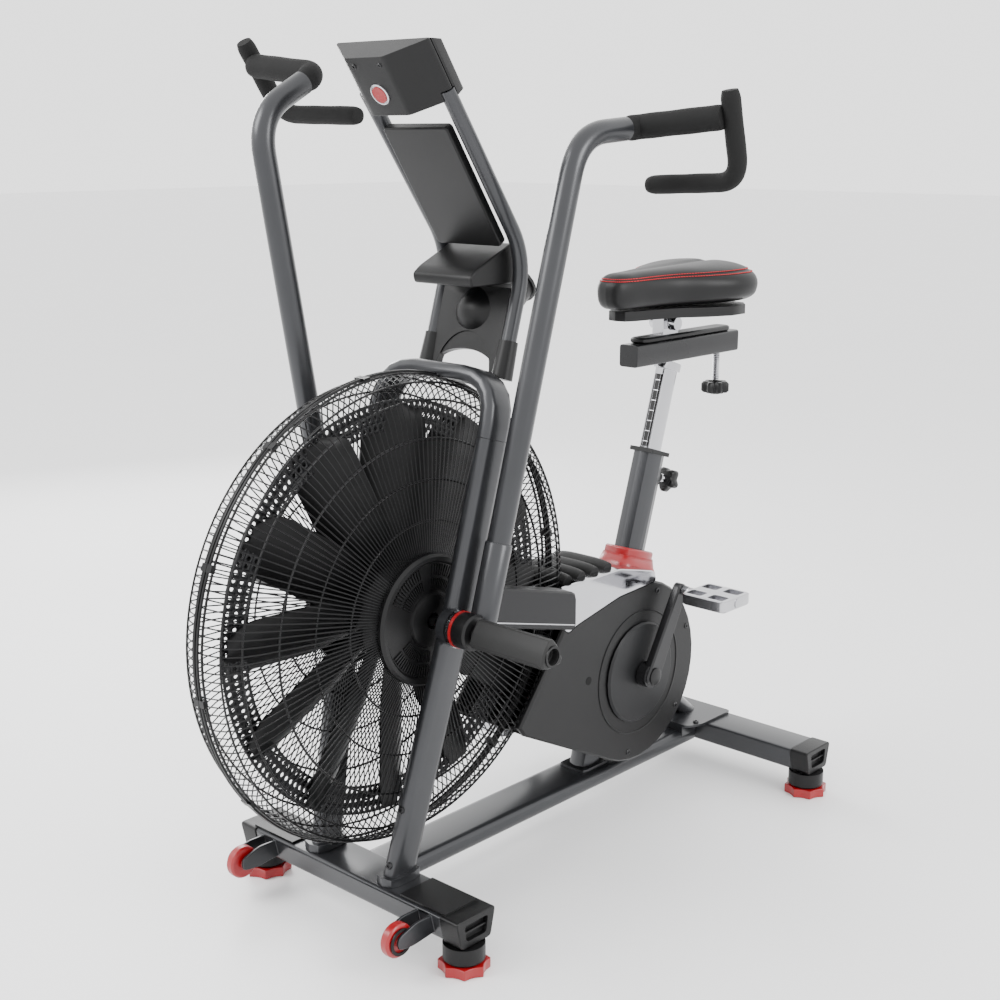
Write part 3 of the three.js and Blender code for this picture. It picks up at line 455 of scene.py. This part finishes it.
for side, name in ((1, "left"), (-1, "right")):
    def put(point, side=side):
        return at(*swung(point, side))

    body = f"handle_{name}_body"
    start, corner, end = (199, -19, 1331), (201, 10, 1340), (360, 17, 1356)
    bar = Shape()
    path = bent([put((171, -162, 540)), put((194, -125, 1300)), put(start)], 0.062)
    bar.tube(path, 0.019, 32)
    low, high = put((171, -166, 506)), put((171 + 23 * 0.155, -162 + 37 * 0.155, 540 + 760 * 0.155))
    bar.tube([low, low.lerp(high, 0.985), high], [0.022, 0.022, 0.0205], 32)
    piece("bar_tube_" + name, bar.v, bar.f, body, "frame_paint", smooth=40, stands_for=["handlebar_" + name])
    drum = Shape()
    c = at(0, *FAN)
    profile = [(0.013, 0.148), (0.027, 0.148), (0.029, 0.151), (0.029, 0.186), (0.026, 0.190), (0.013, 0.190)]
    drum.turned(c, X * side, profile, 48)
    piece("bar_drum_" + name, drum.v, drum.f, body, "black_plastic")
    for label, r, x0, x1, slot in (("chrome", 0.0305, 0.150, 0.156, "chrome"),
                                   ("red", 0.0300, 0.157, 0.162, "red_plastic")):
        hoop = Shape()
        hoop.turned(c, X * side, [(0.027, x0), (r, x0), (r, x1), (0.027, x1)], 48)
        piece(f"hub_ring_{label}_{name}", hoop.v, hoop.f, body, slot)

    arm = bent([put(start), put(corner), put(end)], 0.020)
    foam = foam_sleeve(arm, 0.020, {0: 0.90, 1: 0.97}, 0.55)
    grip = piece("foam_grip_" + name, foam.v, foam.f, body, "foam", smooth=60, stands_for=["grip_" + name])
    hook = bent([put((367, 11, 1396)), put((372, 67, 1266)), put((189, 78, 1260))], 0.042)
    foam = foam_sleeve(hook, 0.0155, {0: 0.82, 1: 0.94}, 0.6)
    grip = piece("foam_bar_" + name, foam.v, foam.f, body, "foam", smooth=60)

    mast = Shape()
    corners = [at(side * 85, -26, 884), at(side * 85, 31, 1076), at(side * 88, -150, 1336)]
    mast.tube(bent(corners, 0.060), 0.0125, 24)
    piece("mast_" + name, mast.v, mast.f, "frame", "frame_paint", stands_for=["mast_tube_" + name])
    boot = Shape()
    boot.tube([at(side * 85, -26, 884), at(side * 85, -8, 944)], [0.018, 0.0155], 24)
    piece("mast_boot_" + name, boot.v, boot.f, "frame", "black_plastic")

# ---------------------------------------------------------------- saddle
# Half widths of the saddle from nose to rear, as (y, x).
HALF = [(346, 0), (352, 24), (378, 36), (430, 45), (490, 64), (548, 102), (604, 126), (656, 124), (690, 96),
        (700, 48), (690, 0)]


def spline(points, steps):
    out = []
    n = len(points)
    for i in range(n - 1):
        p0, p1, p2, p3 = points[max(i - 1, 0)], points[i], points[i + 1], points[min(i + 2, n - 1)]
        for k in range(steps):
            t = k / steps
            out.append(tuple(
                0.5 * (2 * b + (c - a) * t + (2 * a - 5 * b + 4 * c - d) * t * t
                       + (3 * b - a - 3 * c + d) * t ** 3)
                for a, b, c, d in zip(p0, p1, p2, p3)))
    out.append(points[-1])
    return out


right = spline(HALF, 6)
outline = [(x, y) for y, x in right] + [(-x, y) for y, x in reversed(right[1:-1])]
STEPS = 26


def cushion(s, i, lower=False):
    x, y = outline[i % len(outline)]
    spine = min(max(y, 392), 640)
    px, py = x * s, spine + (y - spine) * s
    rear = min(1, max(0, (py - 400) / 220))
    rise = (30 + 10 * rear) * (1 - s ** 3.2) ** 0.55
    if lower:
        return at(px, py, 990 - 33 * (1 - s ** 5) ** 0.5)
    z = 994 + rise
    z -= 2.6 * math.exp(-((s - 0.845) / 0.022) ** 2)
    z -= 5.0 * math.exp(-(px / 13) ** 2) * rear * (1 - s)
    return at(px, py, min(z, 1033.5))


verts, faces = [], []
n = len(outline)
levels = [k / STEPS for k in range(STEPS + 1)]
for s in levels:
    verts += [cushion(s, i) for i in range(n)]
for s in reversed(levels[:-1]):
    verts += [cushion(s, i, True) for i in range(n)]
rows = len(verts) // n
for j in range(rows - 1):
    for i in range(n):
        m = (i + 1) % n
        faces.append((j * n + i, j * n + m, (j + 1) * n + m, (j + 1) * n + i))
me = bpy.data.meshes.new("saddle_cushion")
me.from_pydata([tuple(v) for v in verts], [], faces)
bm = bmesh.new()
bm.from_mesh(me)
bmesh.ops.remove_doubles(bm, verts=bm.verts, dist=0.0004)
bmesh.ops.recalc_face_normals(bm, faces=bm.faces)
bm.to_mesh(me)
bm.free()
seat = bpy.data.objects.new("saddle_cushion", me)
bpy.context.scene.collection.objects.link(seat)
me.polygons.foreach_set("use_smooth", [True] * len(me.polygons))
me.materials.append(M["vinyl"])
soft = seat.modifiers.new("soft", "SUBSURF")
soft.levels = soft.render_levels = 1
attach(seat, "saddle_body")
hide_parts("saddle")

thread = Shape()
for s in (0.81, 0.885):
    for i in range(n):
        a, b = cushion(s, i), cushion(s, i + 1)
        pieces_here = max(1, round((b - a).length / 0.006))
        for k in range(pieces_here):
            p, q = a.lerp(b, (k + 0.12) / pieces_here), a.lerp(b, (k + 0.80) / pieces_here)
            lift = Z * 0.0004
            thread.tube([p + lift, q + lift], 0.0008, 5)
piece("saddle_thread", thread.v, thread.f, "saddle_body", "red_plastic", material=THREAD)

# ---------------------------------------------------------------- console, cover, post and other small detail
lean = math.atan(0.67)
up = Vector((0, -math.sin(lean), math.cos(lean)))
back = Vector((0, math.cos(lean), math.sin(lean)))
head = at(0, -186, 1304)
emblem = Shape()
profile = [(0, -0.001), (0.0175, -0.001), (0.0175, 0.002), (0.0150, 0.0025), (0.0150, 0.0012), (0, 0.0012)]
emblem.turned(head + up * 0.030, -back, profile, 48, closed=False)
piece("console_emblem_rim", emblem.v, emblem.f, "frame", "bare_metal")
emblem = Shape()
profile = [(0, 0.001), (0.0135, 0.001), (0.0135, 0.0030), (0, 0.0034)]
emblem.turned(head + up * 0.030, -back, profile, 48, closed=False)
piece("console_emblem", emblem.v, emblem.f, "frame", "red_plastic")

panel_low = at(0, 31 - (1108 - 1076) * 0.696, 1108) - back * 0.008
# Eight near-black discs in a ring on the lower panel: painted shade standing in for holes.
dots = Shape()
for k in range(8):
    t = k * math.pi / 4
    place = panel_low + up * (0.185 + 0.010 * math.sin(t)) + X * 0.010 * math.cos(t)
    profile = [(0, 0.0006), (0.0022, 0.0006), (0.0022, -0.001), (0, -0.001)]
    dots.turned(place, -back, profile, 10, closed=False)
piece("panel_hole_shade", dots.v, dots.f, "frame", "black_plastic", material=SEAM_AND_HOLE_SHADE)
screws = Shape()
for x, h in ((-0.055, 0.205), (0.055, 0.205), (-0.058, 0.012), (0.058, 0.012)):
    screws.bolt(panel_low + up * h + X * x, -back, 0.0042, 0.002)
for x in (-0.028, 0.028):
    screws.bolt(head + up * 0.078 + X * x, -back, 0.004, 0.0016)
piece("panel_screws", screws.v, screws.f, "frame", "black_steel")
seam = Shape()
corners = [(-0.066, 0.030), (0.066, 0.030), (0.066, 0.196), (-0.066, 0.196)]
corners = [panel_low + X * x + up * h - back * 0.0001 for x, h in corners]
for a, b in zip(corners, corners[1:] + corners[:1]):
    seam.tube([a, b], 0.0009, 6)
piece("panel_seam", seam.v, seam.f, "frame", "black_plastic", material=SEAM_AND_HOLE_SHADE)

seat_lean = math.atan(0.314)
sup = Vector((0, math.sin(seat_lean), math.cos(seat_lean)))
sback = Vector((0, math.cos(seat_lean), -math.sin(seat_lean)))


def on_seat(height, behind=0.0):
    """A point on the seat tube's axis at a height along it, moved back square to it, both in millimetres."""
    return at(0, 421, 450) + sup * height / 1000 + sback * behind / 1000


def wrapped(shape, low, high, half, lift):
    """A thin patch that follows the front face of the seat post between two heights along it."""
    columns = [half * (k / 5 - 1) for k in range(11)]
    rows = []
    for h in (low, high):
        rows += [landing("seat_post", on_seat(h, -70) + X * x, sback)[0] - sback * lift for x in columns]
    shape.add(rows, [(k, k + 1, k + 12, k + 11) for k in range(10)])


strip = Shape()
wrapped(strip, 242, 384, 0.009, 0.00008)
piece("post_strip", strip.v, strip.f, "seat_post_body", "black_plastic")
marks = Shape()
for k in range(7):
    wrapped(marks, 251.4 + 20 * k, 252.8 + 20 * k, 0.006, 0.00014)
piece("post_marks", marks.v, marks.f, "seat_post_body", "bare_metal")
bush = Shape()
for sign in (1, -1):
    bush.box(on_seat(235, sign * 28), X * 0.0240, sback * 0.0045, sup * 0.004)
    bush.box(on_seat(235) + X * sign * 0.0195, X * 0.0045, sback * 0.0240, sup * 0.004)
piece("tube_bushing", bush.v, bush.f, "frame", "black_plastic")

pads = Shape()
for y in (176, 214, 252, 290):
    z = 491 - max(0, y - 300) * 0.245
    path = [at(x, y, z + 5 * (1 - (abs(x) / 62) ** 4)) for x in range(-60, 61, 10)]
    pads.tube(path, 0.0125, 16, squash=0.9)
piece("cover_ribs", pads.v, pads.f, "frame", "black_plastic", material=RIB)

bolts_on("rear_bolts", [("rear_stabilizer", at(x, 610, 200), -Z) for x in (-200, -150, 150, 200)])
plate_spots = [("main_beam", at(x, y, 200), -Z) for x in (-60, 60) for y in (560, 590)]
bolts_on("plate_bolts", plate_spots, radius=0.006)
screw_spots = [("shroud_" + name, around(CRANK, s * 180, r, t), -X * s)
               for s, name in ((1, "left"), (-1, "right"))
               for r, t in ((158, -40), (160, 20), (158, -100), (158, 70))]
bolts_on("shroud_screws", screw_spots, radius=0.0055, height=0.002)
for s, name in ((1, "left"), (-1, "right")):
    line = Shape()
    line.tube([around(CRANK, s * 83.2, 120, k * 4) for k in range(90)], 0.0016, 6, closed=True)
    piece("shroud_line_" + name, line.v, line.f, "frame", "black_plastic")
    # A near-black disc on each shroud: painted shade standing in for a hole.
    hole = Shape()
    profile = [(0, 0.0004), (0.008, 0.0004), (0.008, -0.001), (0, -0.001)]
    hole.turned(at(s * 83, 212, 300), X * s, profile, 24, closed=False)
    piece("shroud_hole_shade_" + name, hole.v, hole.f, "frame", "black_plastic", material=SEAM_AND_HOLE_SHADE)
    strip = Shape()
    strip.tube([at(s * 136.3, -100, 499), at(s * 136.3, 104, 446)], 0.0014, 8)
    piece("cover_trim_" + name, strip.v, strip.f, "frame", "chrome")
    c = at(0, *FAN)
    caps = Shape()
    profile = [(0.013, 0.0), (0.0165, 0.0), (0.0165, 0.0018), (0.013, 0.0018)]
    caps.turned(c + X * s * 0.3462, X * s, profile, 40)
    piece("peg_end_" + name, caps.v, caps.f, "frame", "black_plastic")
    hubcap = Shape()
    wheel = at(s * 201.5, -378.5, 68.6)
    hubcap.bolt(wheel, X * s, 0.009, 0.004)
    hubcap.turned(wheel, X * s, [(0.017, -0.001), (0.022, -0.001), (0.022, 0.0012), (0.017, 0.0012)], 40)
    piece("wheel_hub_" + name, hubcap.v, hubcap.f, f"transport_wheel_{name}_body", "black_plastic")

# ---------------------------------------------------------------- cup bulge and skirt of the lower mast panel
cup = Shape()
axis = Vector((0, 0.77, 0.64)).normalized()
dome = [(0.050 * math.sin(math.radians(k * 9)), -0.040 * math.cos(math.radians(k * 9))) for k in range(11)]
cup.turned(at(0, 24, 974), axis, dome + [(0.050, 0.02)], 48, closed=False)
piece("cup_bulge", cup.v, cup.f, "frame", "black_plastic", smooth=60)
low_up = Vector((0, 57, 192)).normalized()
low_out = X.cross(low_up)
skirt = Shape()
base = at(0, -26 + 2 * 0.312, 886)
verts, faces = [], []
for k in range(25):
    x = -0.072 + 0.144 * k / 24
    dip = 0.004 + 0.036 * math.sqrt(max(0.0, 1 - (x / 0.0725) ** 2))
    for depth in (-0.006, 0.006):
        for h in (dip, 0.085):
            verts.append(base + X * x + low_up * h + low_out * depth)
for k in range(24):
    q = k * 4
    faces += [(q, q + 4, q + 5, q + 1), (q + 2, q + 3, q + 7, q + 6)]
    faces += [(q, q + 2, q + 6, q + 4), (q + 1, q + 5, q + 7, q + 3)]
skirt.add(verts, faces)
piece("mast_skirt", skirt.v, skirt.f, "frame", "black_plastic")

# ---------------------------------------------------------------- foot stems, leg bolts, knobs, collar skirt
for x, y, name in ((242, -283, "front_foot_left"), (-242, -283, "front_foot_right"),
                   (287, 648, "rear_foot_left"), (-287, 648, "rear_foot_right")):
    stem = Shape()
    profile = [(0.008, 0.017), (0.030, 0.017), (0.034, 0.021), (0.034, 0.047), (0.008, 0.047)]
    stem.turned(at(x, y, 0), Z, profile, 40)
    piece("stem_" + name, stem.v, stem.f, name + "_body", "black_plastic")
bolts_on("leg_bolts", [(f"fork_leg_{name}", at(s * x, -420, z), Y) for s, name in ((1, "left"), (-1, "right"))
                       for x, z in ((92, 128), (100, 220))], radius=0.006, height=0.003)
front_spots = [("front_stabilizer", at(x, -321, 200), -Z) for x in (-190, 190, -60, 60)]
bolts_on("cap_bolts", front_spots, radius=0.007)


def star(centre, axis, radius, lobes, height):
    axis = axis.normalized()
    u = axis.orthogonal().normalized()
    w = axis.cross(u)
    out = Shape()
    n = lobes * 12
    profile = [(0.0, 0), (0.86, 0), (1.0, 0.18), (1.0, 0.82), (0.86, 1), (0.45, 1), (0.4, 1.15), (0.0, 1.15)]
    verts, faces = [], []
    for f, h in profile:
        for k in range(n):
            t = 2 * math.pi * k / n
            r = max(1e-5, radius * f * (1 + (0.16 * math.cos(lobes * t) if f > 0.5 else 0)))
            verts.append(centre + axis * (height * h) + (u * math.cos(t) + w * math.sin(t)) * r)
    for i in range(len(profile) - 1):
        for k in range(n):
            m = (k + 1) % n
            faces.append((i * n + k, i * n + m, (i + 1) * n + m, (i + 1) * n + k))
    out.add(verts, faces)
    return out


knob = star(on_seat(190, 66), sback, 0.0215, 5, 0.022)
piece("pin_star", knob.v, knob.f, "pop_pin_body", "black_plastic", smooth=40)
stem = Shape()
profile = [(0, 0), (0.0096, 0), (0.0096, 0.008), (0.0072, 0.010), (0.0072, 0.021), (0, 0.021)]
stem.turned(on_seat(190, 46), sback, profile, 24, closed=False)
piece("pin_stem", stem.v, stem.f, "pop_pin_body", "chrome")
knob = star(at(0, 706, 786), -Z, 0.0245, 7, 0.022)
piece("rail_star", knob.v, knob.f, "rail_knob_body", "black_plastic", smooth=40)
screw = Shape()
for k in range(16):
    z = 0.790 + k * 0.0034
    profile = [(0, z), (0.0074, z), (0.0062, z + 0.0017), (0.0074, z + 0.0034), (0, z + 0.0034)]
    screw.turned(at(0, 706, 0), Z, profile, 20, closed=False)
piece("rail_thread", screw.v, screw.f, "rail_knob_body", "bare_metal")


def squared(value):
    """Pushes a sine or cosine outwards, so that a circle becomes a rounded rectangle."""
    return math.copysign(abs(value) ** 0.55, value)


collar = Shape()
verts = []
for h, grow in ((4, 10), (14, 5), (30, 1)):
    for k in range(40):
        t = 2 * math.pi * k / 40
        c, d = math.cos(t), math.sin(t)
        verts.append(on_seat(h, (48 + grow) * squared(d)) + X * ((36 + grow) * squared(c) / 1000))
faces = []
for i in range(2):
    for k in range(40):
        m = (k + 1) % 40
        faces.append((i * 40 + k, i * 40 + m, (i + 1) * 40 + m, (i + 1) * 40 + k))
collar.add(verts, faces)
b = piece("collar_skirt", collar.v, collar.f, "frame", "red_plastic", smooth=50)
b.modifiers.new("thickness", "SOLIDIFY").thickness = 0.002
for s, name in ((1, "left"), (-1, "right")):
    end = Shape()
    profile = [(0, 0.1205), (0.0165, 0.1205), (0.0165, 0.1245), (0.012, 0.1262), (0, 0.1262)]
    end.turned(at(0, *CRANK), X * s, profile, 32, closed=False)
    piece("crank_cap_" + name, end.v, end.f, "crank_body", "black_plastic")

# ---------------------------------------------------------------- floor and light
me = bpy.data.meshes.new("floor")
me.from_pydata([(-30, -30, 0), (30, -30, 0), (30, 30, 0), (-30, 30, 0)], [], [(0, 1, 2, 3)])
floor = bpy.data.objects.new("floor", me)
bpy.context.scene.collection.objects.link(floor)
me.materials.append(finish_of("floor", (0.86, 0.86, 0.865), 0.45, 0, 40, 0.01, 0.01, patch=1.5))
floor.location.z = -0.0005
world = bpy.data.worlds.new("studio")
bpy.context.scene.world = world
world.use_nodes = True
world.node_tree.nodes["Background"].inputs["Color"].default_value = (1, 1, 1, 1)
world.node_tree.nodes["Background"].inputs["Strength"].default_value = 2.2


def softbox(name, place, aim, size, watts):
    light = bpy.data.lights.new(name, "AREA")
    light.size = size
    light.energy = watts
    ob = bpy.data.objects.new(name, light)
    bpy.context.scene.collection.objects.link(ob)
    ob.location = place
    ob.rotation_euler = (Vector(aim) - Vector(place)).to_track_quat("-Z", "Y").to_euler()


softbox("key", (-1.6, -2.6, 3.0), (0, 0, 0.6), 1.8, 120)
softbox("side", (3.2, 0.4, 2.2), (0, 0, 0.7), 1.4, 70)
softbox("rim", (-3.0, 1.2, 1.6), (0, 0, 0.7), 1.4, 60)
